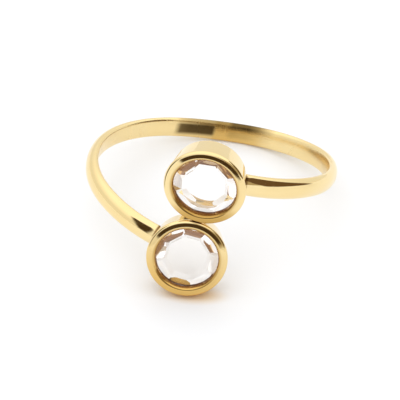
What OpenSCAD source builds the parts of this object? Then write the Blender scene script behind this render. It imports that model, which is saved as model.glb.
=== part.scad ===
// Two-stone bypass ring, in millimetres.
// A slim rounded shank winds once round the finger, and its two ends pass each other at the front.
// Each end carries a round bezel cup, open at the back, that holds a clear faceted stone.
// The ring lies on its side as it comes to rest: on the lower cup and on the back of the shank.

/* [Shank] */
// Inside diameter of the shank
inside_d = 17.3; // [17:0.1:17.6]
// Width of the shank, along the finger
shank_w = 1.64; // [1.4:0.02:1.8]
// Thickness of the shank, out from the finger
shank_t = 0.87; // [0.8:0.01:1]
// Rounding of the shank's two inner edges
shank_edge_r = 0.29; // [0.15:0.01:0.32]
// How far the left end stands out from the finger, behind the lower cup
left_flare = 0.5; // [0.45:0.01:0.6]
// How far the right end stands out from the finger, behind the upper cup
right_flare = 0.95; // [0.9:0.01:1]

/* [Cups] */
// Diameter of a cup over its shoulder
cup_d = 5.99; // [5.9:0.01:6.1]
// Diameter of a cup at its back edge
cup_back_d = 5.34; // [5.25:0.01:5.4]
// Depth of a cup from its lip to its back edge
cup_depth = 2.42; // [2.35:0.01:2.5]
// Diameter of the opening in the lip
lip_in_d = 4.6; // [4.55:0.01:4.65]
// Rounding of the lip's inner edge
lip_edge_r = 0.24; // [0.2:0.01:0.25]
// Slope of the lip's face, down from its inner edge to the shoulder
lip_slope = 10; // [6:1:14]
// Rounding of the shoulder
shoulder_r = 0.22; // [0.16:0.01:0.24]
// Diameter of the light hole behind the stone
light_hole_d = 4.3; // [4.2:0.01:4.4]

/* [Cup places] */
// How far the upper cup's lip stands off the finger's axis, to the front
upper_front = 11.84; // [11.8:0.01:11.9]
// How far the upper cup's lip stands along the finger, above the shank's back
upper_rise = 2.88; // [2.86:0.01:2.9]
// How far the upper cup's lip stands to the side
upper_side = -0.89; // [-0.92:0.01:-0.86]
// Turn of the upper cup to its side
upper_turn = -4.7; // [-5:0.1:-4]
// Tilt of the upper cup towards the lower one
upper_tilt = -11.3; // [-12:0.1:-11]
// How far the lower cup's lip stands off the finger's axis, to the front
lower_front = 11.3; // [11.25:0.01:11.35]
// How far the lower cup's lip stands along the finger, below the shank's back
lower_rise = -3; // [-3.02:0.01:-2.98]
// How far the lower cup's lip stands to the side
lower_side = -0.46; // [-0.5:0.01:-0.4]
// Turn of the lower cup to its side
lower_turn = -1.3; // [-2:0.1:-1]
// Tilt of the lower cup towards the upper one
lower_tilt = 1.3; // [1:0.1:2]

/* [Stones] */
// Diameter of a stone at its girdle
stone_d = 5.12; // [5.06:0.01:5.14]
// Diameter of a stone's table, across its flats
table_d = 3.3; // [3.1:0.05:3.5]
// Slope of a stone's main crown facets
crown_slope = 28; // [26:1:30]
// Slope of a stone's main facets under the girdle
pavilion_slope = 24; // [22:1:26]
// Diameter of the flat at a stone's back, across its flats
back_flat_d = 2.8; // [2.6:0.1:3]
// Gap between a stone and its cup
stone_gap = 0.04; // [0.03:0.01:0.05]
// Turn of the upper stone's facets in its cup
upper_facet_turn = 34; // [0:1:44]
// Turn of the lower stone's facets in its cup
lower_facet_turn = 24; // [0:1:44]

/* [Hidden] */
$fn = 64;
inside_r = inside_d / 2;
turn_end = 171;
stations = 72;
// The shank's way round the finger, a row for each turn from the middle of the back.
// Both arms use these turns. left_rise and right_rise are shares of the lower and the upper
// cup's height, and flare is a share of how far that arm's end stands out.
TURN = 0;
LEFT_RISE = 1;
RIGHT_RISE = 2;
FLARE = 3;
way = [
    [0,   0,     0,     0],
    [40,  0.295, 0.475, 0],
    [75,  0.515, 0.835, 0],
    [105, 0.735, 0.965, 0],
    [135, 0.89,  1.05,  0.09],
    [158, 0.97,  1.10,  0.56],
    [175, 1.00,  1.13,  1],
];
cup_r = cup_d / 2;
cup_back_r = cup_back_d / 2;
lip_in_r = lip_in_d / 2;
back_edge_r = 0.1;
light_hole_r = light_hole_d / 2;
shoulder_x = cup_r - shoulder_r;
lip_edge_x = lip_in_r + lip_edge_r;
// The shoulder's centre, where the lip's sloping face meets both roundings
shoulder_z = -lip_edge_r - (shoulder_x - lip_edge_x) * tan(lip_slope)
    - (shoulder_r - lip_edge_r) / cos(lip_slope);
stone_r = stone_d / 2;
girdle_top = -0.52;
girdle_t = 0.12;
girdle_bottom = girdle_top - girdle_t;
table_z = girdle_top + (stone_r * cos(22.5) - table_d / 2) * tan(crown_slope);
back_flat_z = girdle_bottom - (stone_r * cos(22.5) - back_flat_d / 2) * tan(pavilion_slope);
// The girdle and star facets: how far out their flats stand, as shares of the stone's and
// the table's radius, and how much steeper or flatter they are than the main facets
girdle_facet_share = 0.985;
star_facet_share = 1.02;
upper_girdle_steeper = 6;
lower_girdle_steeper = 4;
star_flatter = 10;
seat_r = stone_r + stone_gap;
// How far the cut through a cup runs past its lip and past its back edge
past_lip = 1;
past_back = 1.4;
// Where the ring lies: its lean and roll from lying flat, and how far it is then moved
rest_lean = -14.81;
rest_roll = 15.27;
rest_move = [-0.111, 1.608, 3.093];

// One value from the way's table, at a row counted from the left end round the back
function way_row(i) = let (n = len(way) - 1) i < n ? -way[n - i][TURN] : way[i - n][TURN];
function way_value(i, column) = let (n = len(way) - 1)
    column == FLARE ? way[abs(i - n)][FLARE] * (i < n ? left_flare : right_flare)
    : i < n ? way[n - i][LEFT_RISE] * lower_rise : way[i - n][RIGHT_RISE] * upper_rise;

// Slope of a column at a row, from its two neighbours
function way_slope(i, column) = let (
    last = 2 * (len(way) - 1), a = max(0, i - 1), b = min(last, i + 1))
    (way_value(b, column) - way_value(a, column)) / (way_row(b) - way_row(a));

// A column's smooth value at any turn
function segment(turn, i = 0) =
    i >= 2 * (len(way) - 1) - 1 || turn < way_row(i + 1) ? i : segment(turn, i + 1);
function way_at(turn, column) = let (
    i = segment(turn), h = way_row(i + 1) - way_row(i), u = (turn - way_row(i)) / h)
    way_value(i, column) * (1 + 2 * u) * (1 - u) * (1 - u)
    + way_slope(i, column) * h * u * (1 - u) * (1 - u)
    + way_value(i + 1, column) * u * u * (3 - 2 * u)
    + way_slope(i + 1, column) * h * u * u * (u - 1);

// A point on the shank's inner line, and the three directions of its section there
function inner_point(turn) = let (r = inside_r + way_at(turn, FLARE))
    [r * sin(turn), r * cos(turn), way_at(turn, LEFT_RISE)];
function along(turn) = let (d = inner_point(turn + 0.5) - inner_point(turn - 0.5)) d / norm(d);
function outward(turn) = let (
    t = along(turn), r = [sin(turn), cos(turn), 0], n = r - (r * t) * t) n / norm(n);
function across(turn) = cross(outward(turn), along(turn));

// How far the shank's inner face is sunk into the finger's bore, which then cuts it true
bite = 0.03;

// The shank's section: [across, outwards] points of a flat with rounded edges under a low dome
function shank_section() = concat(
    [for (a = [0:30:60]) [shank_w / 2 - shank_edge_r * (1 - sin(a)), shank_edge_r * (1 - cos(a))]],
    [for (a = [0:15:180]) [shank_w / 2 * cos(a), shank_edge_r + (shank_t - shank_edge_r) * sin(a)]],
    [for (a = [60:-30:0]) [-shank_w / 2 + shank_edge_r * (1 - sin(a)), shank_edge_r * (1 - cos(a))]]);
function shank_ring(turn) = let (p = inner_point(turn), o = outward(turn), a = across(turn))
    [for (s = shank_section()) p + s[0] * a + (s[1] - bite) * o];

// The shank as one swept skin from end to end
module shank_sweep() {
    n = len(shank_section());
    turns = [for (i = [0:stations]) -turn_end + 2 * turn_end * i / stations];
    points = [for (t = turns) each shank_ring(t)];
    sides = [for (i = [0:stations - 1], j = [0:n - 1])
        [i * n + j, (i + 1) * n + j, (i + 1) * n + (j + 1) % n, i * n + (j + 1) % n]];
    start = [[for (j = [0:n - 1]) j]];
    end = [[for (j = [n - 1:-1:0]) stations * n + j]];
    polyhedron(points, concat(start, sides, end));
}

// Puts a shape made round +Z, with the lip's highest line at z = 0, at one of the two cups
module at_upper() {
    translate([upper_side, -upper_front, upper_rise]) rotate([90 - upper_tilt, 0, upper_turn])
        children();
}
module at_lower() {
    translate([lower_side, -lower_front, lower_rise]) rotate([90 - lower_tilt, 0, lower_turn])
        children();
}

// A cup's outside, solid: lip with a rounded inner edge, rounded shoulder, wall narrowing to the back
module cup_outside() {
    n = [sin(lip_slope), cos(lip_slope)];
    rotate_extrude() {
        polygon([
            [0, -lip_edge_r],
            for (a = [180:-30:90]) [lip_edge_x, -lip_edge_r] + lip_edge_r * [cos(a), sin(a)],
            [lip_edge_x, -lip_edge_r] + lip_edge_r * n,
            [shoulder_x, shoulder_z] + shoulder_r * n,
            [shoulder_x, shoulder_z],
            [cup_r, shoulder_z],
            [cup_back_r, -cup_depth + back_edge_r],
            [cup_back_r - back_edge_r, -cup_depth],
            [0, -cup_depth]]);
        translate([shoulder_x, shoulder_z]) circle(r = shoulder_r, $fn = 20);
    }
}

// What is cut out of a cup: the stone's room under the lip, its seat, and the light hole
module cup_inside() {
    rise = stone_gap / cos(crown_slope);
    drop = stone_gap / cos(pavilion_slope);
    lip_under = girdle_top + (stone_r - lip_in_r) * tan(crown_slope) + rise;
    seat_low = girdle_bottom - (stone_r - light_hole_r) * tan(pavilion_slope) - drop;
    rotate_extrude() polygon([
        [0, past_lip],
        [lip_in_r, past_lip],
        [lip_in_r, lip_under],
        [seat_r, girdle_top + rise],
        [seat_r, girdle_bottom - drop],
        [light_hole_r, seat_low],
        [light_hole_r, -cup_depth - past_back],
        [0, -cup_depth - past_back]]);
}

// One ring of flat facets: an eight-sided taper, its flats a given way from the axis at z
module facet_tier(flats_r, z, slope, turned, up) {
    reach = stone_r;
    far = flats_r + reach / tan(slope);
    near = flats_r / 50;
    h = (flats_r - near) * tan(slope);
    grow = 1 / cos(22.5);
    rotate(turned) translate([0, 0, z]) mirror([0, 0, up ? 0 : 1]) translate([0, 0, -reach])
        cylinder(h = reach + h, r1 = far * grow, r2 = near * grow, $fn = 8);
}

// The cut stone: table, star, main and girdle facets above, main and girdle facets below
module stone() {
    flats_r = stone_r * cos(22.5);
    girdle_flats_r = stone_r * girdle_facet_share;
    intersection() {
        translate([0, 0, back_flat_z]) cylinder(h = table_z - back_flat_z, r = stone_r);
        facet_tier(flats_r, girdle_top, crown_slope, 0, true);
        facet_tier(girdle_flats_r, girdle_top, crown_slope + upper_girdle_steeper, 11.25, true);
        facet_tier(girdle_flats_r, girdle_top, crown_slope + upper_girdle_steeper, -11.25, true);
        facet_tier(table_d / 2 * star_facet_share, table_z, crown_slope - star_flatter, 22.5, true);
        facet_tier(flats_r, girdle_bottom, pavilion_slope, 0, false);
        facet_tier(girdle_flats_r, girdle_bottom, pavilion_slope + lower_girdle_steeper, 11.25, false);
        facet_tier(girdle_flats_r, girdle_bottom, pavilion_slope + lower_girdle_steeper, -11.25, false);
    }
}

// Lays the ring down from the finger's axis upright to how it rests
module at_rest() {
    translate(rest_move) rotate([rest_lean, rest_roll, 0]) children();
}

// Shank and both cups, soldered into one solid, with the finger's bore cut true
module mounting() {
    color("gold") at_rest() difference() {
        union() {
            shank_sweep();
            at_upper() cup_outside();
            at_lower() cup_outside();
        }
        at_upper() cup_inside();
        at_lower() cup_inside();
        translate([0, 0, -inside_r]) cylinder(h = inside_d, r = inside_r);
    }
}

module upper_stone() {
    color("azure") at_rest() at_upper() rotate(upper_facet_turn) stone();
}

module lower_stone() {
    color("azure") at_rest() at_lower() rotate(lower_facet_turn) stone();
}

mounting();
upper_stone();
lower_stone();
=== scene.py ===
"""Two-stone bypass ring in polished gold plate with clear stones, lying on a pale floor.

Sizes are in millimetres and degrees, as in the ring's construction, and MM turns them into metres.
"""
import math

import bmesh
import bpy
import numpy as np
from mathutils import Euler, Matrix, Quaternion, Vector


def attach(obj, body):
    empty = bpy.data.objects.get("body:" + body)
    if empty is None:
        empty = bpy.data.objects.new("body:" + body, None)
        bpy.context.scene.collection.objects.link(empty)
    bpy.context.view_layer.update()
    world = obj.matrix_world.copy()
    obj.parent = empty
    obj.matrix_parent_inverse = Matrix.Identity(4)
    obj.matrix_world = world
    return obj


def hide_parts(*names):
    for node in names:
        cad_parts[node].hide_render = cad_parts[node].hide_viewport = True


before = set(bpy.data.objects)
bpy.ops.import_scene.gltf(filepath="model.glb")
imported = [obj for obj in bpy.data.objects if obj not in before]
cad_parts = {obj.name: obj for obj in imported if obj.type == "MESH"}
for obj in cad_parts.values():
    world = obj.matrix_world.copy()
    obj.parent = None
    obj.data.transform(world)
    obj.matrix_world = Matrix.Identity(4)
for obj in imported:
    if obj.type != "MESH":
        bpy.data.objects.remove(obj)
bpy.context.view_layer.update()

MM = 0.001

# Shank
INSIDE_D = 17.3
SHANK_W = 1.64
SHANK_T = 0.87
SHANK_EDGE_R = 0.29
INNER_CROWN = 9
LEFT_FLARE = 0.5
RIGHT_FLARE = 0.95
TURN_END = 171

# Cups, the angle from which their edges stay sharp, and how far behind them the shank is trimmed
CUP_D = 5.99
CUP_BACK_D = 5.34
CUP_DEPTH = 2.42
LIP_IN_D = 4.6
LIP_SLOPE = 10
LIP_EDGE_R = 0.24
SHOULDER_R = 0.22
BACK_EDGE_R = 0.1
LIGHT_HOLE_D = 4.3
SHARP_FROM = 35
TRIM_BEHIND = 1.4

# Cup places: how far to the side, to the front and along the finger, and the turn and tilt there
UPPER_CUP = {"side": -0.89, "front": 11.84, "rise": 2.88, "turn": -4.7, "tilt": -11.3}
LOWER_CUP = {"side": -0.46, "front": 11.3, "rise": -3.0, "turn": -1.3, "tilt": 1.3}

# Stones
STONE_D = 5.12
CROWN_SLOPE = 28
PAVILION_SLOPE = 24
STONE_GAP = 0.04
GIRDLE_TOP = -0.52
GIRDLE_T = 0.12

# Where the ring lies
REST_LEAN = -14.81
REST_ROLL = 15.27
REST_MOVE = (-0.111, 1.608, 3.093)

# The shank's way round the finger: turn from the middle of the back, the share of the lower
# cup's height on the left arm and of the upper cup's on the right, and the share of the flare
WAY = [
    {"turn": 0, "left_rise": 0.00, "right_rise": 0.00, "flare": 0.00},
    {"turn": 40, "left_rise": 0.295, "right_rise": 0.475, "flare": 0.00},
    {"turn": 75, "left_rise": 0.515, "right_rise": 0.835, "flare": 0.00},
    {"turn": 105, "left_rise": 0.735, "right_rise": 0.965, "flare": 0.00},
    {"turn": 135, "left_rise": 0.89, "right_rise": 1.05, "flare": 0.09},
    {"turn": 158, "left_rise": 0.97, "right_rise": 1.10, "flare": 0.56},
    {"turn": 175, "left_rise": 1.00, "right_rise": 1.13, "flare": 1.00},
]

# Painted reflection inside the band, by turn from the middle of the back: dark brown in its
# middle, painted for a dark reflection, and along its upper edge, and deeper gold all across,
# painted for a reflection of gold. It lies within this many degrees of the middle.
PAINTED_REFLECTION_REACH = 40
PAINTED_REFLECTION = [
    {"turn": -22.0, "middle": 0.00, "edge": 0.00, "deep": 0.0},
    {"turn": -18.8, "middle": 0.90, "edge": 0.30, "deep": 0.3},
    {"turn": -14.0, "middle": 0.97, "edge": 0.45, "deep": 0.4},
    {"turn": -0.8, "middle": 0.98, "edge": 0.60, "deep": 0.6},
    {"turn": 0.8, "middle": 0.15, "edge": 0.65, "deep": 1.0},
    {"turn": 6.0, "middle": 0.12, "edge": 0.60, "deep": 1.0},
    {"turn": 9.0, "middle": 0.35, "edge": 0.90, "deep": 1.0},
    {"turn": 18.0, "middle": 0.25, "edge": 0.90, "deep": 0.9},
    {"turn": 23.0, "middle": 0.10, "edge": 0.70, "deep": 0.8},
    {"turn": 28.0, "middle": 0.05, "edge": 0.30, "deep": 0.3},
    {"turn": 33.0, "middle": 0.00, "edge": 0.00, "deep": 0.0},
]

# Fades of the painted marks, in millimetres: away from a cup's wall for its seam, outwards from
# the band's inner face, across the band and outwards for its painted dark reflection, down
# from a lip's top for the painted shade on its rounding, and down and outwards for the painted
# shade in its seat. The rounding's fade across the lip is in shares of its radius.
SEAM_OUT = (0.048, 0.16)
INNER_OUT = (0.12, 0.3)
MIDDLE_START = (-0.65, -0.25)
MIDDLE_END = (0.35, 0.6)
EDGE_START = (-0.05, 0.55)
EDGE_OUT = (0.3, 0.45)
LIP_DOWN = (0.25, 0.45)
LIP_ACROSS = (-0.85, 0.4)
SEAT_START = (0.3, 0.45)
SEAT_END = (1.2, 1.7)
SEAT_OUT = 0.1

# Painted reflection of deeper gold round each cup: the side it is on, clockwise from its top,
# and the cosines between which it comes in. The upper lip's painted shade takes a share of it,
# and the lower lip's rounding loses a share of its painted shade near its bottom, which is
# painted lighter there.
UPPER_GOLD_REFLECTION = (166, 0.45, 0.95)
UPPER_LIP_SHARE = 0.62
LOWER_GOLD_REFLECTION = (180, -0.7, 1.1)
LOWER_LIT_SIDE = (195, 0.2, 0.9)
LOWER_LIP_LOSS = 0.6

# View: the photograph's angle, the point it looks at, and the distance and lens
VIEW_AZIMUTH = 6.29
VIEW_ELEVATION = 36.55
VIEW_ROLL = 0.51
VIEW_AIM = (-0.31, -3.812, 4.013)
VIEW_DISTANCE = 129.35
SENSOR = 36.0
LENS = 153.99
CLIP_START = 5

# Light: a pale dome, brighter overhead than near the floor
DOME_LOW = 0.915
DOME_HIGH = 1.28
DOME_RISE = (12, 52)

# Cards seen only in reflections: the angle and distance of each, the width over which its edge
# fades, the step of its points, and its outline across and above the floor
CARD_DARK = (0.065, 0.040, 0.018)
CARD_WARM = (0.14, 0.085, 0.045)
CARD_BROWN = (0.45, 0.38, 0.27)
CARDS = [
    {
        "name": "front_card", "azimuth": 0, "distance": 25,
        "soft": 0.6, "step": 0.5, "colour": CARD_DARK,
        "outline": [
            (-6.8, 5.8), (-5.5, 5.6), (2.6, 5.2), (3.6, 5.2), (5.6, 4.8), (8.6, 5.8), (8.6, 8.8),
            (3.2, 10.8), (1.0, 11.6), (-6.0, 11.6), (-10.0, 9.8), (-10.0, 8.4),
        ],
    },
    {
        "name": "front_right_card", "azimuth": 25, "distance": 60,
        "soft": 2.0, "step": 1.0, "colour": CARD_BROWN,
        "outline": [
            (-22.0, 3.0), (-10.6, 4.0), (-3.0, 6.5), (6.0, 10.0), (22.0, 9.0), (50.0, 16.0),
            (50.0, 45.0), (-22.0, 45.0),
        ],
    },
    {
        "name": "left_card", "azimuth": -52, "distance": 14,
        "soft": 0.8, "step": 0.4, "colour": CARD_DARK,
        "outline": [
            (0.5, 9.8), (1.3, 7.8), (2.9, 4.2), (4.5, 4.0), (5.4, 7.0), (5.7, 10.0), (5.2, 14.0),
            (4.1, 15.5), (2.5, 12.9), (0.8, 11.6),
        ],
    },
    {
        "name": "right_card", "azimuth": 88, "distance": 60,
        "soft": 3.0, "step": 1.5, "colour": CARD_WARM,
        "outline": [
            (-37.0, 24.0), (-30.0, 8.0), (-2.0, 6.5), (18.0, 2.0), (23.0, 2.0), (23.0, 66.0),
            (-10.0, 66.0), (-37.0, 40.0),
        ],
    },
]

# Colours, linear
PLATE_BRIGHT = (0.93, 0.74, 0.385)
PLATE_PATCH = (0.92, 0.70, 0.325)
# Painted reflection: the deeper gold of gold seen in gold
PLATE_REFLECTED_GOLD = (0.76, 0.49, 0.15)
# Painted shade and reflection on a lip's inner rounding
PLATE_LIP_SHADE = (0.50, 0.30, 0.08)
PLATE_SEAM = (0.22, 0.11, 0.03)
# Painted dark reflection inside the band
PLATE_DARK_REFLECTION = (0.075, 0.045, 0.014)
# Painted shade in the seat below a lip
PLATE_SEAT_SHADE = (0.27, 0.155, 0.09)
PLATE_GLOW = (0.14, 0.08, 0.03)
STONE_CLEAR = (1.0, 0.995, 0.99)
STONE_PATCH = (0.985, 0.975, 0.955)
STONE_GLOW = (0.064, 0.028, 0.012)
# Painted glow the stone gives from the first hit on
STONE_FIRST_GLOW = (0.013, 0.011, 0.009)
FLOOR_PALE = (0.928, 0.937, 0.956)
FLOOR_PATCH = (0.918, 0.927, 0.95)
# Painted golden shadow on the floor beneath the lower cup
FLOOR_GOLDEN_SHADOW = (0.84, 0.67, 0.45)

# The floor: half its width, its surface, and the middle of the painted golden shadow on it,
# shade warmed by the light the gold throws, with its reach to the sides and to the front, and
# the share of that reach from which it fades
FLOOR_HALF = 1500
FLOOR_ROUGHNESS = 0.45
FLOOR_SPECULAR = 0.3
GOLDEN_SHADOW_AT = (-0.1, -10.2)
GOLDEN_SHADOW_REACH = (3.1, 1.3)
GOLDEN_SHADOW_CORE = 0.2

# Surfaces: how much the stone bends light, each surface's patches of tone and polishing marks, and
# the ray depths between which its inner glow comes in
STONE_IOR = 1.62
GOLD_TONES = {"Colour": PLATE_BRIGHT, "Other Colour": PLATE_PATCH, "Scale": 260.0, "Amount": 0.5}
STONE_TONES = {"Colour": STONE_CLEAR, "Other Colour": STONE_PATCH, "Scale": 420.0, "Amount": 0.5}
FLOOR_TONES = {"Colour": FLOOR_PALE, "Other Colour": FLOOR_PATCH, "Scale": 90.0, "Amount": 0.6}
GOLD_MARKS = {"Line Scale": 2600.0, "Smooth": 0.06, "Worn": 0.2}
STONE_MARKS = {"Line Scale": 3200.0, "Smooth": 0.0, "Worn": 0.04}
GOLD_LATE = (3.0, 6.0)
STONE_LATE = (1.0, 4.0)

# The noise between which tone patches and hairlines come in, the three crossed sets of hairlines
# and their depth beside the ripple's, the ripple, and what the inner face's satin adds
PATCH_NOISE = (0.35, 0.7)
LINE_NOISE = (0.6, 0.78)
LINE_SETS = [
    {"stretch": (1.0, 0.06, 0.06), "turn": (0.5, 0.3, 0.7)},
    {"stretch": (0.06, 1.0, 0.06), "turn": (-0.7, -0.42, -0.98)},
    {"stretch": (0.06, 0.06, 1.0), "turn": (0.3, 0.18, 0.42)},
]
LINE_DEPTH = 0.02
RIPPLE_SCALE = 900.0
RIPPLE_STRENGTH = 0.25
RIPPLE_DEPTH = 0.02
SATIN_ROUGHNESS = 0.17


def rest_matrix():
    """Lays the ring down from the finger's axis upright to how it rests."""
    lay = Euler((math.radians(REST_LEAN), math.radians(REST_ROLL), 0)).to_matrix().to_4x4()
    return Matrix.Translation(Vector(REST_MOVE)) @ lay


def cup_matrix(place):
    """Puts a cup made round +Z, its lip's highest line at z = 0, at its place on the resting
    ring."""
    at = Matrix.Translation(Vector((place["side"], -place["front"], place["rise"])))
    turn = Matrix.Rotation(math.radians(place["turn"]), 4, "Z")
    tilt = Matrix.Rotation(math.radians(90 - place["tilt"]), 4, "X")
    return rest_matrix() @ at @ turn @ tilt


def smoothstep(value, start, stop):
    """0 at start, 1 at stop, and smooth between."""
    t = min(max((value - start) / (stop - start), 0.0), 1.0)
    return t * t * (3 - 2 * t)


def way_rows():
    """The way's rows from the left end, round the back, to the right end."""
    left = [
        {
            "turn": -row["turn"],
            "rise": row["left_rise"] * LOWER_CUP["rise"],
            "flare": row["flare"] * LEFT_FLARE,
        }
        for row in reversed(WAY[1:])
    ]
    right = [
        {
            "turn": row["turn"],
            "rise": row["right_rise"] * UPPER_CUP["rise"],
            "flare": row["flare"] * RIGHT_FLARE,
        }
        for row in WAY
    ]
    return left + right


def smooth_column(turns, column, soften=12.0):
    """One column of the way at fine even turns: cubic between its rows, then softened over a few
    degrees."""
    rows = way_rows()
    at = np.array([row["turn"] for row in rows], float)
    value = np.array([row[column] for row in rows], float)
    slope = np.gradient(value, at)
    slope[1:-1] = (value[2:] - value[:-2]) / (at[2:] - at[:-2])
    i = np.clip(np.searchsorted(at, turns, side="right") - 1, 0, len(at) - 2)
    h = at[i + 1] - at[i]
    u = (turns - at[i]) / h
    curve = (
        value[i] * (1 + 2 * u) * (1 - u) ** 2
        + slope[i] * h * u * (1 - u) ** 2
        + value[i + 1] * u * u * (3 - 2 * u)
        + slope[i + 1] * h * u * u * (u - 1)
    )
    step = turns[1] - turns[0]
    reach = int(soften / step)
    window = np.hanning(2 * reach + 3)[1:-1]
    window /= window.sum()
    before = curve[0] + (curve[1] - curve[0]) * np.arange(-reach, 0)
    after = curve[-1] + (curve[-1] - curve[-2]) * np.arange(1, reach + 1)
    return np.convolve(np.concatenate([before, curve, after]), window, mode="valid")


def shank_section(edge_steps=10, dome_steps=40, inner_steps=12):
    """Points (across, outwards) round the section: a slightly crowned inner face, rounded
    edges and a low dome outside. The crowned face's middle stays on the inside diameter."""
    half = SHANK_W / 2
    r = SHANK_EDGE_R
    crown = math.radians(INNER_CROWN)
    end_x = half - r + r * math.sin(crown)
    end_h = r * (1 - math.cos(crown))
    sag = end_x * math.tan(crown) / 2
    lift = sag - end_h
    edge = []
    for k in range(edge_steps + 1):
        a = crown + (math.pi / 2 - crown) * k / edge_steps
        h = r * (1 - math.cos(a))
        edge.append((half - r * (1 - math.sin(a)), h + lift * (1 - h / r)))
    points = edge[:-1]
    for k in range(dome_steps + 1):
        a = math.pi * k / dome_steps
        points.append((half * math.cos(a), r + (SHANK_T - r) * math.sin(a)))
    points += [(-x, h) for x, h in reversed(edge[:-1])]
    low = edge[0][1]
    for k in range(1, inner_steps):
        x = -end_x + 2 * end_x * k / inner_steps
        points.append((x, low - sag * (1 - (x / end_x) ** 2)))
    return points


def mesh_object(name, verts, faces, matrix=None):
    """A smooth-shaded object from millimetre points."""
    mesh = bpy.data.meshes.new(name)
    move = matrix or Matrix.Identity(4)
    mesh.from_pydata([move @ Vector(v) * MM for v in verts], [], faces)
    bm = bmesh.new()
    bm.from_mesh(mesh)
    bmesh.ops.recalc_face_normals(bm, faces=bm.faces)
    bm.to_mesh(mesh)
    bm.free()
    mesh.shade_smooth()
    obj = bpy.data.objects.new(name, mesh)
    bpy.context.scene.collection.objects.link(obj)
    return obj


def make_shank(step=0.75):
    """The shank swept from end to end along its way."""
    last = float(WAY[-1]["turn"])
    turns = np.arange(-last, last + step / 2, step)
    rise = smooth_column(turns, "rise")
    radius = INSIDE_D / 2 + np.maximum(smooth_column(turns, "flare"), 0)
    angle = np.radians(turns)
    line = np.stack([radius * np.sin(angle), radius * np.cos(angle), rise], 1)
    along = np.gradient(line, axis=0)
    along /= np.linalg.norm(along, axis=1)[:, None]
    out = np.stack([np.sin(angle), np.cos(angle), 0 * angle], 1)
    out -= (out * along).sum(1)[:, None] * along
    out /= np.linalg.norm(out, axis=1)[:, None]
    across = np.cross(out, along)
    keep = np.abs(turns) <= TURN_END
    line, out, across = line[keep], out[keep], across[keep]
    section = shank_section()
    n = len(section)
    verts = [tuple(p + s * a + h * o) for p, o, a in zip(line, out, across) for s, h in section]
    faces = [
        (i * n + j, (i + 1) * n + j, (i + 1) * n + (j + 1) % n, i * n + (j + 1) % n)
        for i in range(len(line) - 1)
        for j in range(n)
    ]
    faces.append(tuple(range(n)))
    faces.append(tuple((len(line) - 1) * n + j for j in reversed(range(n))))
    return mesh_object("shank", verts, faces, rest_matrix())


def arc(centre, radius, start, end, steps):
    """Points on an arc, angles in degrees from the radial direction towards the lip's side."""
    angles = [math.radians(a) for a in np.linspace(start, end, steps + 1)]
    return [(centre[0] + radius * math.cos(a), centre[1] + radius * math.sin(a)) for a in angles]


def line_points(start, end, steps):
    """Points along a straight line, without its two ends."""
    return [
        (start[0] + (end[0] - start[0]) * k / steps, start[1] + (end[1] - start[1]) * k / steps)
        for k in range(1, steps)
    ]


def cup_profile(lip_steps=14, shoulder_steps=12, wall_steps=24, back_steps=6, hole_steps=4):
    """The cup's closed section as (distance from its axis, height): outside from the lip's
    inner edge over the lip and shoulder and down the wall, then inside up past the seat."""
    slope = math.radians(LIP_SLOPE)
    crown_fall = math.tan(math.radians(CROWN_SLOPE))
    pavilion_fall = math.tan(math.radians(PAVILION_SLOPE))
    edge_x = LIP_IN_D / 2 + LIP_EDGE_R
    shoulder_x = CUP_D / 2 - SHOULDER_R
    shoulder_z = (
        -LIP_EDGE_R
        - (shoulder_x - edge_x) * math.tan(slope)
        - (SHOULDER_R - LIP_EDGE_R) / math.cos(slope)
    )
    seat_r = STONE_D / 2 + STONE_GAP
    rise = STONE_GAP / math.cos(math.radians(CROWN_SLOPE))
    drop = STONE_GAP / math.cos(math.radians(PAVILION_SLOPE))
    under = GIRDLE_TOP + (STONE_D / 2 - LIP_IN_D / 2) * crown_fall + rise
    girdle_bottom = GIRDLE_TOP - GIRDLE_T
    hole_r = LIGHT_HOLE_D / 2
    hole_edge_r = BACK_EDGE_R / 2
    seat_low = girdle_bottom - (STONE_D / 2 - hole_r) * pavilion_fall - drop
    back_at = (CUP_BACK_D / 2 - BACK_EDGE_R, -CUP_DEPTH + BACK_EDGE_R)
    hole_at = (hole_r + hole_edge_r, -CUP_DEPTH + hole_edge_r)
    points = arc((edge_x, -LIP_EDGE_R), LIP_EDGE_R, 180, 90 - LIP_SLOPE, lip_steps)
    points += arc((shoulder_x, shoulder_z), SHOULDER_R, 90 - LIP_SLOPE, 0, shoulder_steps)
    back = arc(back_at, BACK_EDGE_R, 0, -90, back_steps)
    points += line_points(points[-1], back[0], wall_steps)
    points += back
    points += arc(hole_at, hole_edge_r, -90, -180, hole_steps)
    points += [
        (hole_r, seat_low),
        (seat_r, girdle_bottom - drop),
        (seat_r, GIRDLE_TOP + rise),
        (LIP_IN_D / 2, under),
    ]
    return points


def make_cup(name, place, segments=240):
    """A bezel cup turned round its axis."""
    profile = cup_profile()
    n = len(profile)
    verts = []
    for i in range(segments):
        a = 2 * math.pi * i / segments
        verts += [(x * math.cos(a), x * math.sin(a), z) for x, z in profile]
    faces = []
    for i in range(segments):
        here, following = i * n, (i + 1) % segments * n
        for j in range(n):
            k = (j + 1) % n
            faces.append((here + j, following + j, following + k, here + k))
    cup = mesh_object(name, verts, faces, cup_matrix(place))
    sharpen(cup, SHARP_FROM)
    return cup


def sharpen(obj, degrees):
    """Keeps edges steeper than this sharp, and the rest smooth."""
    bm = bmesh.new()
    bm.from_mesh(obj.data)
    for edge in bm.edges:
        if len(edge.link_faces) == 2:
            edge.smooth = edge.calc_face_angle() < math.radians(degrees)
    bm.to_mesh(obj.data)
    bm.free()


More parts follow.
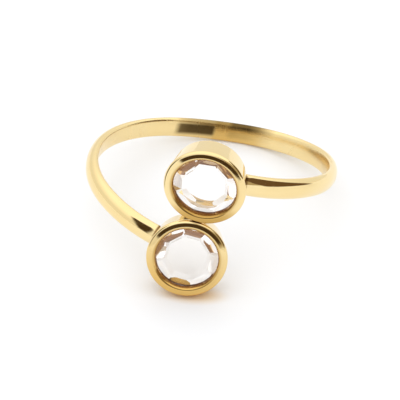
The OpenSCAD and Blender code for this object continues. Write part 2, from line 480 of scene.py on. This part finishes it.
def hollow_plug(place, segments=96):
    """A solid as wide as the cup's hollow, which trims what reaches into it."""
    seat_r = STONE_D / 2 + STONE_GAP
    verts = []
    for z in (GIRDLE_TOP, -CUP_DEPTH - TRIM_BEHIND):
        for i in range(segments):
            a = 2 * math.pi * i / segments
            verts.append((seat_r * math.cos(a), seat_r * math.sin(a), z))
    sides = []
    for i in range(segments):
        following = (i + 1) % segments
        sides.append((i, following, segments + following, segments + i))
    ends = [tuple(range(segments)), tuple(reversed(range(segments, 2 * segments)))]
    return mesh_object("hollow_plug", verts, sides + ends, cup_matrix(place))


def trim(obj, cutter):
    """Cuts one solid out of another and removes the cutter."""
    cut = obj.modifiers.new("trim", "BOOLEAN")
    cut.operation = "DIFFERENCE"
    cut.solver = "EXACT"
    cut.object = cutter
    depsgraph = bpy.context.evaluated_depsgraph_get()
    mesh = bpy.data.meshes.new_from_object(obj.evaluated_get(depsgraph))
    obj.modifiers.clear()
    obj.data = mesh
    bpy.data.objects.remove(cutter)


def paint(obj, name, value_at):
    """Stores a value for each point of a piece, which its material reads by this name."""
    layer = obj.data.attributes.new(name, "FLOAT", "POINT")
    layer.data.foreach_set("value", [value_at(v.co / MM) for v in obj.data.vertices])


def cup_distance(place):
    """A function that gives how far a point is outside a cup's wall, in millimetres."""
    back = cup_matrix(place).inverted()
    narrow = (CUP_D - CUP_BACK_D) / 2 / CUP_DEPTH

    def distance(point):
        p = back @ point
        wall = CUP_D / 2 + narrow * min(p.z, 0.0)
        beyond = max(p.z, -CUP_DEPTH - p.z, 0.0)
        return math.hypot(max(math.hypot(p.x, p.y) - wall, 0.0), beyond)

    return distance


def seam_values(place):
    """1 in the solder seam next to a cup's wall, fading to 0 at its width."""
    distance = cup_distance(place)
    return lambda point: 1 - smoothstep(distance(point), *SEAM_OUT)


def painted_reflection_row(turn, column):
    """One column of the table of painted reflection at any turn."""
    turns = [row["turn"] for row in PAINTED_REFLECTION]
    return float(np.interp(turn, turns, [row[column] for row in PAINTED_REFLECTION]))


def dark_reflection_values():
    """How much dark brown is painted inside the band: in its middle, where it stands for a dark
    reflection, most of all left of the back's middle, and along its upper edge."""
    back = rest_matrix().inverted()
    on_inside = satin_values()
    way = np.arange(-PAINTED_REFLECTION_REACH, PAINTED_REFLECTION_REACH + 1.0)
    rises = smooth_column(way, "rise")

    def value(point):
        p = back @ point
        turn = math.degrees(math.atan2(p.x, p.y))
        across = p.z - float(np.interp(turn, way, rises))
        out = math.hypot(p.x, p.y) - INSIDE_D / 2
        middle = smoothstep(across, *MIDDLE_START) * (1 - smoothstep(across, *MIDDLE_END))
        edge = smoothstep(across, *EDGE_START) * (1 - smoothstep(out, *EDGE_OUT))
        brown_middle = on_inside(point) * middle * painted_reflection_row(turn, "middle")
        return max(brown_middle, edge * painted_reflection_row(turn, "edge"))

    return value


def gold_reflection_values():
    """Painted reflection of deeper gold inside the band, next to the painted dark reflection."""
    back = rest_matrix().inverted()
    on_inside = satin_values()

    def value(point):
        p = back @ point
        return on_inside(point) * painted_reflection_row(math.degrees(math.atan2(p.x, p.y)), "deep")

    return value


def seat_shade_values(place):
    """1 inside a cup below its lip, where shade is painted, 0 on the lip and outside."""
    back = cup_matrix(place).inverted()
    seat_r = STONE_D / 2 + STONE_GAP

    def value(point):
        p = back @ point
        within = 1 - smoothstep(math.hypot(p.x, p.y), seat_r, seat_r + SEAT_OUT)
        return within * smoothstep(-p.z, *SEAT_START) * (1 - smoothstep(-p.z, *SEAT_END))

    return value


def satin_values():
    """1 on the band's inner face, which is less polished, 0 outside."""
    back = rest_matrix().inverted()

    def value(point):
        p = back @ point
        return 1 - smoothstep(math.hypot(p.x, p.y) - INSIDE_D / 2, *INNER_OUT)

    return value


def side_values(place, toward, start, stop):
    """1 on the side of a cup that is towards this angle, clockwise from its top, fading to 0 with
    the cosine from there."""
    back = cup_matrix(place).inverted()

    def value(point):
        p = back @ point
        return smoothstep(math.cos(math.atan2(p.x, p.y) - math.radians(toward)), start, stop)

    return value


def lip_shade_values(place):
    """1 on a lip's inner rounding, where shade and reflection are painted, 0 down in the seat and
    outside.
    """
    back = cup_matrix(place).inverted()
    edge_x = LIP_IN_D / 2 + LIP_EDGE_R
    start, stop = (edge_x + LIP_EDGE_R * share for share in LIP_ACROSS)

    def value(point):
        p = back @ point
        inside = 1 - smoothstep(math.hypot(p.x, p.y), start, stop)
        return inside * (1 - smoothstep(-p.z, *LIP_DOWN))

    return value


def new_group(name, inputs, outputs):
    """An empty shader node group with named inputs, each with its usual value, and outputs."""
    group = bpy.data.node_groups.new(name, "ShaderNodeTree")
    for label, kind, value in inputs:
        socket = group.interface.new_socket(label, in_out="INPUT", socket_type=kind)
        if value is not None:
            socket.default_value = value
    for label, kind in outputs:
        group.interface.new_socket(label, in_out="OUTPUT", socket_type=kind)
    group.nodes.new("NodeGroupInput").name = "in"
    group.nodes.new("NodeGroupOutput").name = "out"
    return group


def add_noise(tree, vector, scale, detail):
    """A noise texture over object places."""
    noise = tree.nodes.new("ShaderNodeTexNoise")
    noise.inputs["Detail"].default_value = detail
    tree.links.new(vector, noise.inputs["Vector"])
    if isinstance(scale, (int, float)):
        noise.inputs["Scale"].default_value = scale
    else:
        tree.links.new(scale, noise.inputs["Scale"])
    return noise.outputs["Fac"]


def add_math(tree, operation, first, second):
    """One arithmetic step on sockets or numbers."""
    node = tree.nodes.new("ShaderNodeMath")
    node.operation = operation
    for socket, value in zip(node.inputs, (first, second)):
        if isinstance(value, (int, float)):
            socket.default_value = value
        else:
            tree.links.new(value, socket)
    return node.outputs["Value"]


def add_range(tree, value, start, stop, low=0.0, high=1.0):
    """Maps a value from one range to another, smoothly at both ends."""
    node = tree.nodes.new("ShaderNodeMapRange")
    node.interpolation_type = "SMOOTHSTEP"
    node.inputs["From Min"].default_value = start
    node.inputs["From Max"].default_value = stop
    node.inputs["To Min"].default_value = low
    node.inputs["To Max"].default_value = high
    tree.links.new(value, node.inputs["Value"])
    return node.outputs["Result"]


def add_mix(tree, factor, first, second):
    """Mixes two colours, each a socket or a fixed colour."""
    node = tree.nodes.new("ShaderNodeMix")
    node.data_type = "RGBA"
    tree.links.new(factor, node.inputs[0])
    for socket, value in ((node.inputs[6], first), (node.inputs[7], second)):
        if isinstance(value, tuple):
            socket.default_value = (*value, 1)
        else:
            tree.links.new(value, socket)
    return node.outputs[2]


def tone_group():
    """Soft patches of a slightly different tone over a surface."""
    group = new_group(
        "tone_patches",
        [
            ("Vector", "NodeSocketVector", None),
            ("Colour", "NodeSocketColor", (0.8, 0.8, 0.8, 1)),
            ("Other Colour", "NodeSocketColor", (0.7, 0.7, 0.7, 1)),
            ("Scale", "NodeSocketFloat", 300.0),
            ("Amount", "NodeSocketFloat", 0.3),
        ],
        [("Colour", "NodeSocketColor")],
    )
    given = group.nodes["in"].outputs
    noise = add_noise(group, given["Vector"], given["Scale"], 3.0)
    patches = add_range(group, noise, *PATCH_NOISE)
    share = add_math(group, "MULTIPLY", patches, given["Amount"])
    mixed = add_mix(group, share, given["Colour"], given["Other Colour"])
    group.links.new(mixed, group.nodes["out"].inputs["Colour"])
    return group


def wear_group():
    """Polishing marks: fine crossed hairlines that roughen a surface and a slow, faint ripple."""
    group = new_group(
        "polish_wear",
        [
            ("Vector", "NodeSocketVector", None),
            ("Line Scale", "NodeSocketFloat", 2500.0),
            ("Smooth", "NodeSocketFloat", 0.05),
            ("Worn", "NodeSocketFloat", 0.2),
        ],
        [("Roughness", "NodeSocketFloat"), ("Height", "NodeSocketFloat")],
    )
    given = group.nodes["in"].outputs
    lines = None
    for row in LINE_SETS:
        drawn = group.nodes.new("ShaderNodeMapping")
        drawn.inputs["Rotation"].default_value = row["turn"]
        drawn.inputs["Scale"].default_value = row["stretch"]
        group.links.new(given["Vector"], drawn.inputs["Vector"])
        noise = add_noise(group, drawn.outputs["Vector"], given["Line Scale"], 3.0)
        line = add_range(group, noise, *LINE_NOISE)
        lines = line if lines is None else add_math(group, "MAXIMUM", lines, line)
    spread = add_math(group, "SUBTRACT", given["Worn"], given["Smooth"])
    rough = add_math(group, "ADD", given["Smooth"], add_math(group, "MULTIPLY", lines, spread))
    ripple = add_noise(group, given["Vector"], RIPPLE_SCALE, 1.0)
    height = add_math(group, "SUBTRACT", ripple, add_math(group, "MULTIPLY", lines, LINE_DEPTH))
    group.links.new(rough, group.nodes["out"].inputs["Roughness"])
    group.links.new(height, group.nodes["out"].inputs["Height"])
    return group


def new_material(name):
    """A material with its principled shader, and its object places."""
    material = bpy.data.materials.new(name)
    material.use_nodes = True
    tree = material.node_tree
    places = tree.nodes.new("ShaderNodeTexCoord").outputs["Object"]
    return material, tree, tree.nodes["Principled BSDF"], places


def place_group(tree, group, values):
    """Puts a node group into a material with these values, sockets or numbers."""
    node = tree.nodes.new("ShaderNodeGroup")
    node.node_tree = group
    for label, value in values.items():
        if isinstance(value, (int, float)):
            node.inputs[label].default_value = value
        elif isinstance(value, tuple):
            node.inputs[label].default_value = (*value, 1)
        else:
            tree.links.new(value, node.inputs[label])
    return node.outputs


def add_bump(tree, height, strength, distance):
    """Turns a height into the shader's normal."""
    bump = tree.nodes.new("ShaderNodeBump")
    bump.inputs["Strength"].default_value = strength
    bump.inputs["Distance"].default_value = distance
    tree.links.new(height, bump.inputs["Height"])
    tree.links.new(bump.outputs["Normal"], tree.nodes["Principled BSDF"].inputs["Normal"])


def inner_glow(tree, depth, late_depths, colour, at_once=(0.0, 0.0, 0.0)):
    """Stands for the light of the many later reflections that the renderer cuts off: it comes in
    between these depths of a ray. Before them it is the at_once colour, which for the stone
    is a faint painted glow."""
    path = tree.nodes.new("ShaderNodeLightPath")
    late = tree.nodes.new("ShaderNodeMapRange")
    late.inputs["From Min"].default_value, late.inputs["From Max"].default_value = late_depths
    tree.links.new(path.outputs[depth], late.inputs["Value"])
    glow = add_mix(tree, late.outputs["Result"], at_once, colour)
    tree.links.new(glow, tree.nodes["Principled BSDF"].inputs["Emission Color"])
    tree.nodes["Principled BSDF"].inputs["Emission Strength"].default_value = 1.0


def read_paint(tree, name):
    """The value that was stored on the piece's points."""
    node = tree.nodes.new("ShaderNodeAttribute")
    node.attribute_name = name
    return node.outputs["Fac"]


def gold_material(tones, wear):
    """Polished yellow gold plate with painted shade and reflection: painted deeper where a lip
    turns in to its stone and on each cup's lower side, painted deeper gold and dark brown inside
    the band, and painted brown in the seats. It is brown in the solder seams."""
    material, tree, shader, places = new_material("gold_plate")
    patchy = place_group(tree, tones, {"Vector": places, **GOLD_TONES})["Colour"]
    # Painted reflection: deeper gold inside the band and on each cup's lower side
    gold_reflected = add_mix(tree, read_paint(tree, "low"), patchy, PLATE_REFLECTED_GOLD)
    # Painted shade in the seats
    seat_shaded = add_mix(tree, read_paint(tree, "seat"), gold_reflected, PLATE_SEAT_SHADE)
    # Painted dark reflection inside the band
    dark_reflected = add_mix(tree, read_paint(tree, "dark_reflection"), seat_shaded, PLATE_DARK_REFLECTION)
    # Painted shade and reflection on the lips' inner rounding
    lip_shaded = add_mix(tree, read_paint(tree, "painted_lip_shade"), dark_reflected, PLATE_LIP_SHADE)
    seamed = add_mix(tree, read_paint(tree, "seam"), lip_shaded, PLATE_SEAM)
    tree.links.new(seamed, shader.inputs["Base Color"])
    shader.inputs["Metallic"].default_value = 1.0
    marks = place_group(tree, wear, {"Vector": places, **GOLD_MARKS})
    satin = add_math(tree, "MULTIPLY", read_paint(tree, "satin"), SATIN_ROUGHNESS)
    tree.links.new(add_math(tree, "ADD", marks["Roughness"], satin), shader.inputs["Roughness"])
    add_bump(tree, marks["Height"], RIPPLE_STRENGTH, RIPPLE_DEPTH * MM)
    inner_glow(tree, "Ray Depth", GOLD_LATE, PLATE_GLOW)
    material.cycles.emission_sampling = "NONE"
    return material


def stone_material(tones, wear):
    """Clear colourless stone with polished facets."""
    material, tree, shader, places = new_material("clear_stone")
    tint = place_group(tree, tones, {"Vector": places, **STONE_TONES})["Colour"]
    tree.links.new(tint, shader.inputs["Base Color"])
    marks = place_group(tree, wear, {"Vector": places, **STONE_MARKS})
    tree.links.new(marks["Roughness"], shader.inputs["Roughness"])
    shader.inputs["IOR"].default_value = STONE_IOR
    shader.inputs["Transmission Weight"].default_value = 1.0
    inner_glow(tree, "Glossy Depth", STONE_LATE, STONE_GLOW, STONE_FIRST_GLOW)
    material.cycles.emission_sampling = "NONE"
    return material


def floor_material(tones):
    """Plain pale floor, with a painted golden shadow where the lower cup throws its light."""
    material, tree, shader, places = new_material("pale_floor")
    pale = place_group(tree, tones, {"Vector": places, **FLOOR_TONES})["Colour"]
    spread = tree.nodes.new("ShaderNodeMapping")
    (x, y), (wide, deep) = GOLDEN_SHADOW_AT, GOLDEN_SHADOW_REACH
    spread.inputs["Location"].default_value = (-x / wide, -y / deep, 0)
    spread.inputs["Scale"].default_value = (1 / (wide * MM), 1 / (deep * MM), 0)
    tree.links.new(places, spread.inputs["Vector"])
    away = tree.nodes.new("ShaderNodeVectorMath")
    away.operation = "LENGTH"
    tree.links.new(spread.outputs["Vector"], away.inputs[0])
    # Painted golden shadow: a darker, warmer floor colour near the lower cup
    golden_shadow = add_range(tree, away.outputs["Value"], GOLDEN_SHADOW_CORE, 1.0, low=1.0, high=0.0)
    tree.links.new(add_mix(tree, golden_shadow, pale, FLOOR_GOLDEN_SHADOW), shader.inputs["Base Color"])
    shader.inputs["Roughness"].default_value = FLOOR_ROUGHNESS
    shader.inputs["Specular IOR Level"].default_value = FLOOR_SPECULAR
    return material


def make_floor(tones):
    """The floor that the ring lies on."""
    half = FLOOR_HALF * MM
    corners = [(-half, -half, 0), (half, -half, 0), (half, half, 0), (-half, half, 0)]
    mesh = bpy.data.meshes.new("floor")
    mesh.from_pydata(corners, [], [(0, 1, 2, 3)])
    floor = bpy.data.objects.new("floor", mesh)
    bpy.context.scene.collection.objects.link(floor)
    floor.data.materials.append(floor_material(tones))


def direction(azimuth, elevation):
    """Unit vector, azimuth from the front to the right and elevation above the floor."""
    a = math.radians(azimuth)
    e = math.radians(elevation)
    return Vector((math.sin(a) * math.cos(e), -math.cos(a) * math.cos(e), math.sin(e)))


def make_world():
    """A pale dome all round, brighter overhead."""
    world = bpy.data.worlds.new("studio")
    bpy.context.scene.world = world
    world.use_nodes = True
    tree = world.node_tree
    looking = tree.nodes.new("ShaderNodeTexCoord").outputs["Generated"]
    parts = tree.nodes.new("ShaderNodeSeparateXYZ")
    tree.links.new(looking, parts.inputs["Vector"])
    start, stop = (math.sin(math.radians(a)) for a in DOME_RISE)
    strength = add_range(tree, parts.outputs["Z"], start, stop, DOME_LOW, DOME_HIGH)
    background = tree.nodes["Background"]
    background.inputs["Color"].default_value = (1, 1, 1, 1)
    tree.links.new(strength, background.inputs["Strength"])


def card_material(name, colour):
    """A card of one colour that lets light through where its cover is less than full."""
    material = bpy.data.materials.new(name)
    material.use_nodes = True
    tree = material.node_tree
    tree.nodes.clear()
    face = tree.nodes.new("ShaderNodeEmission")
    face.inputs["Color"].default_value = (*colour, 1)
    clear = tree.nodes.new("ShaderNodeBsdfTransparent")
    mix = tree.nodes.new("ShaderNodeMixShader")
    output = tree.nodes.new("ShaderNodeOutputMaterial")
    tree.links.new(read_paint(tree, "cover"), mix.inputs["Fac"])
    tree.links.new(clear.outputs["BSDF"], mix.inputs[1])
    tree.links.new(face.outputs["Emission"], mix.inputs[2])
    tree.links.new(mix.outputs["Shader"], output.inputs["Surface"])
    return material


def outline_distance(x, z, outline):
    """How far a point is inside a closed outline, less than 0 outside."""
    inside = False
    nearest = 1e9
    for (ax, az), (bx, bz) in zip(outline, outline[1:] + outline[:1]):
        if (az > z) != (bz > z) and x < ax + (z - az) / (bz - az) * (bx - ax):
            inside = not inside
        dx, dz = bx - ax, bz - az
        t = min(max(((x - ax) * dx + (z - az) * dz) / (dx * dx + dz * dz), 0.0), 1.0)
        nearest = min(nearest, math.hypot(x - ax - t * dx, z - az - t * dz))
    return nearest if inside else -nearest


def grid_line(values, margin, step):
    """Even places from a margin before the least of these values to one past the greatest."""
    return np.arange(min(values) - margin, max(values) + margin + step, step)


def make_card(name, azimuth, distance, soft, step, colour, outline):
    """An upright card facing the ring, seen only in its reflections. Its edge fades over the soft
    width, half of it outside the outline."""
    xs = grid_line([x for x, z in outline], soft, step)
    zs = grid_line([z for x, z in outline], soft, step)
    a = math.radians(azimuth)
    centre = Vector((math.sin(a), -math.cos(a), 0)) * distance
    side = Vector((math.cos(a), math.sin(a), 0))
    verts = [centre + side * x + Vector((0, 0, z)) for z in zs for x in xs]
    n = len(xs)
    faces = [
        (j * n + i, j * n + i + 1, (j + 1) * n + i + 1, (j + 1) * n + i)
        for j in range(len(zs) - 1)
        for i in range(n - 1)
    ]
    card = mesh_object(name, verts, faces)
    cover = card.data.attributes.new("cover", "FLOAT", "POINT")
    inside = [outline_distance(x, z, outline) for z in zs for x in xs]
    cover.data.foreach_set("value", [smoothstep(d, -soft / 2, soft / 2) for d in inside])
    card.data.materials.append(card_material(name, colour))
    card.visible_camera = False
    card.visible_diffuse = False
    card.visible_shadow = False


def make_camera():
    """The camera at the photograph's angle."""
    back = direction(VIEW_AZIMUTH, VIEW_ELEVATION)
    data = bpy.data.cameras.new("camera")
    data.sensor_width = SENSOR
    data.lens = LENS
    data.clip_start = CLIP_START * MM
    camera = bpy.data.objects.new("camera", data)
    bpy.context.scene.collection.objects.link(camera)
    camera.location = (Vector(VIEW_AIM) + back * VIEW_DISTANCE) * MM
    camera.rotation_mode = "QUATERNION"
    roll = Quaternion((0, 0, 1), math.radians(VIEW_ROLL))
    camera.rotation_quaternion = (-back).to_track_quat("-Z", "Y") @ roll
    bpy.context.scene.camera = camera


shank = make_shank()
trim(shank, hollow_plug(UPPER_CUP))
trim(shank, hollow_plug(LOWER_CUP))
upper_cup = make_cup("upper_cup", UPPER_CUP)
lower_cup = make_cup("lower_cup", LOWER_CUP)
to_upper = seam_values(UPPER_CUP)
to_lower = seam_values(LOWER_CUP)
paint(shank, "seam", lambda p: max(to_upper(p), to_lower(p)))
# Painted dark reflection inside the band, darkest in its middle
paint(shank, "dark_reflection", dark_reflection_values())
# Painted reflection of deeper gold inside the band
paint(shank, "low", gold_reflection_values())
paint(shank, "satin", satin_values())

upper_gold_reflection = side_values(UPPER_CUP, *UPPER_GOLD_REFLECTION)
upper_lip = lip_shade_values(UPPER_CUP)
paint(upper_cup, "seam", to_lower)
# Painted reflection of deeper gold on the cup's lower side
paint(upper_cup, "low", upper_gold_reflection)
# Painted shade on the lip's inner rounding, with a share of the painted gold reflection
paint(upper_cup, "painted_lip_shade", lambda p: max(upper_lip(p), UPPER_LIP_SHARE * upper_gold_reflection(p)))
# Painted shade in the seat
paint(upper_cup, "seat", seat_shade_values(UPPER_CUP))

# Side painted lighter: the lower lip's rounding keeps less painted shade there
lower_lit_side = side_values(LOWER_CUP, *LOWER_LIT_SIDE)
lower_lip = lip_shade_values(LOWER_CUP)
paint(lower_cup, "seam", to_upper)
# Painted reflection of deeper gold on the cup's lower side
paint(lower_cup, "low", side_values(LOWER_CUP, *LOWER_GOLD_REFLECTION))
# Painted shade on the lip's inner rounding, less of it on the side painted lighter
paint(lower_cup, "painted_lip_shade", lambda p: lower_lip(p) * (1 - LOWER_LIP_LOSS * lower_lit_side(p)))
# Painted shade in the seat
paint(lower_cup, "seat", seat_shade_values(LOWER_CUP))

tones = tone_group()
wear = wear_group()
gold = gold_material(tones, wear)
for piece in (shank, upper_cup, lower_cup):
    piece.data.materials.clear()
    piece.data.materials.append(gold)
    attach(piece, "root")
    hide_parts("mounting")
clear = stone_material(tones, wear)
for node in ("upper_stone", "lower_stone"):
    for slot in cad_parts[node].material_slots:
        slot.material = clear

make_floor(tones)
make_world()
for card in CARDS:
    make_card(**card)
make_camera()
bpy.context.scene.view_settings.view_transform = "Standard"
